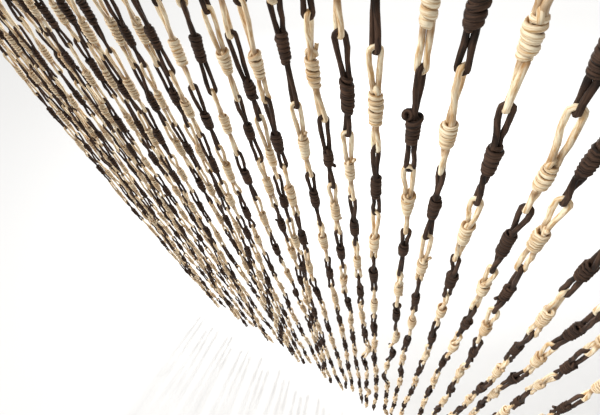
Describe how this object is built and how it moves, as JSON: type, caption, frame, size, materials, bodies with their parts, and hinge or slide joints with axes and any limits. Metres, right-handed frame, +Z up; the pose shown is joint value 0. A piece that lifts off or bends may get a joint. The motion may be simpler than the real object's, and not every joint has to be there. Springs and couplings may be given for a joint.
{
  "type": "knotted door curtain",
  "caption": "String door curtain of knotted two-colour cord links that hang in chains side by side from a narrow flat heading strip.",
  "frame": {"origin": "middle of the heading strip's top edge", "axes": "+X along the curtain, +Y away from the viewer, +Z up; the strands hang along -Z"},
  "size_m": [0.9, 0.0267, 2.018],
  "materials": {
    "natural_cord": "round beige cord with fine fibre grain and a slight waxy sheen",
    "brown_cord": "round dark chocolate brown cord with a slight waxy sheen",
    "heading_tape": "matt woven cotton tape"
  },
  "bodies": {
    "root": {"knotted_strands": "natural_cord"}
  },
  "joints": []
}
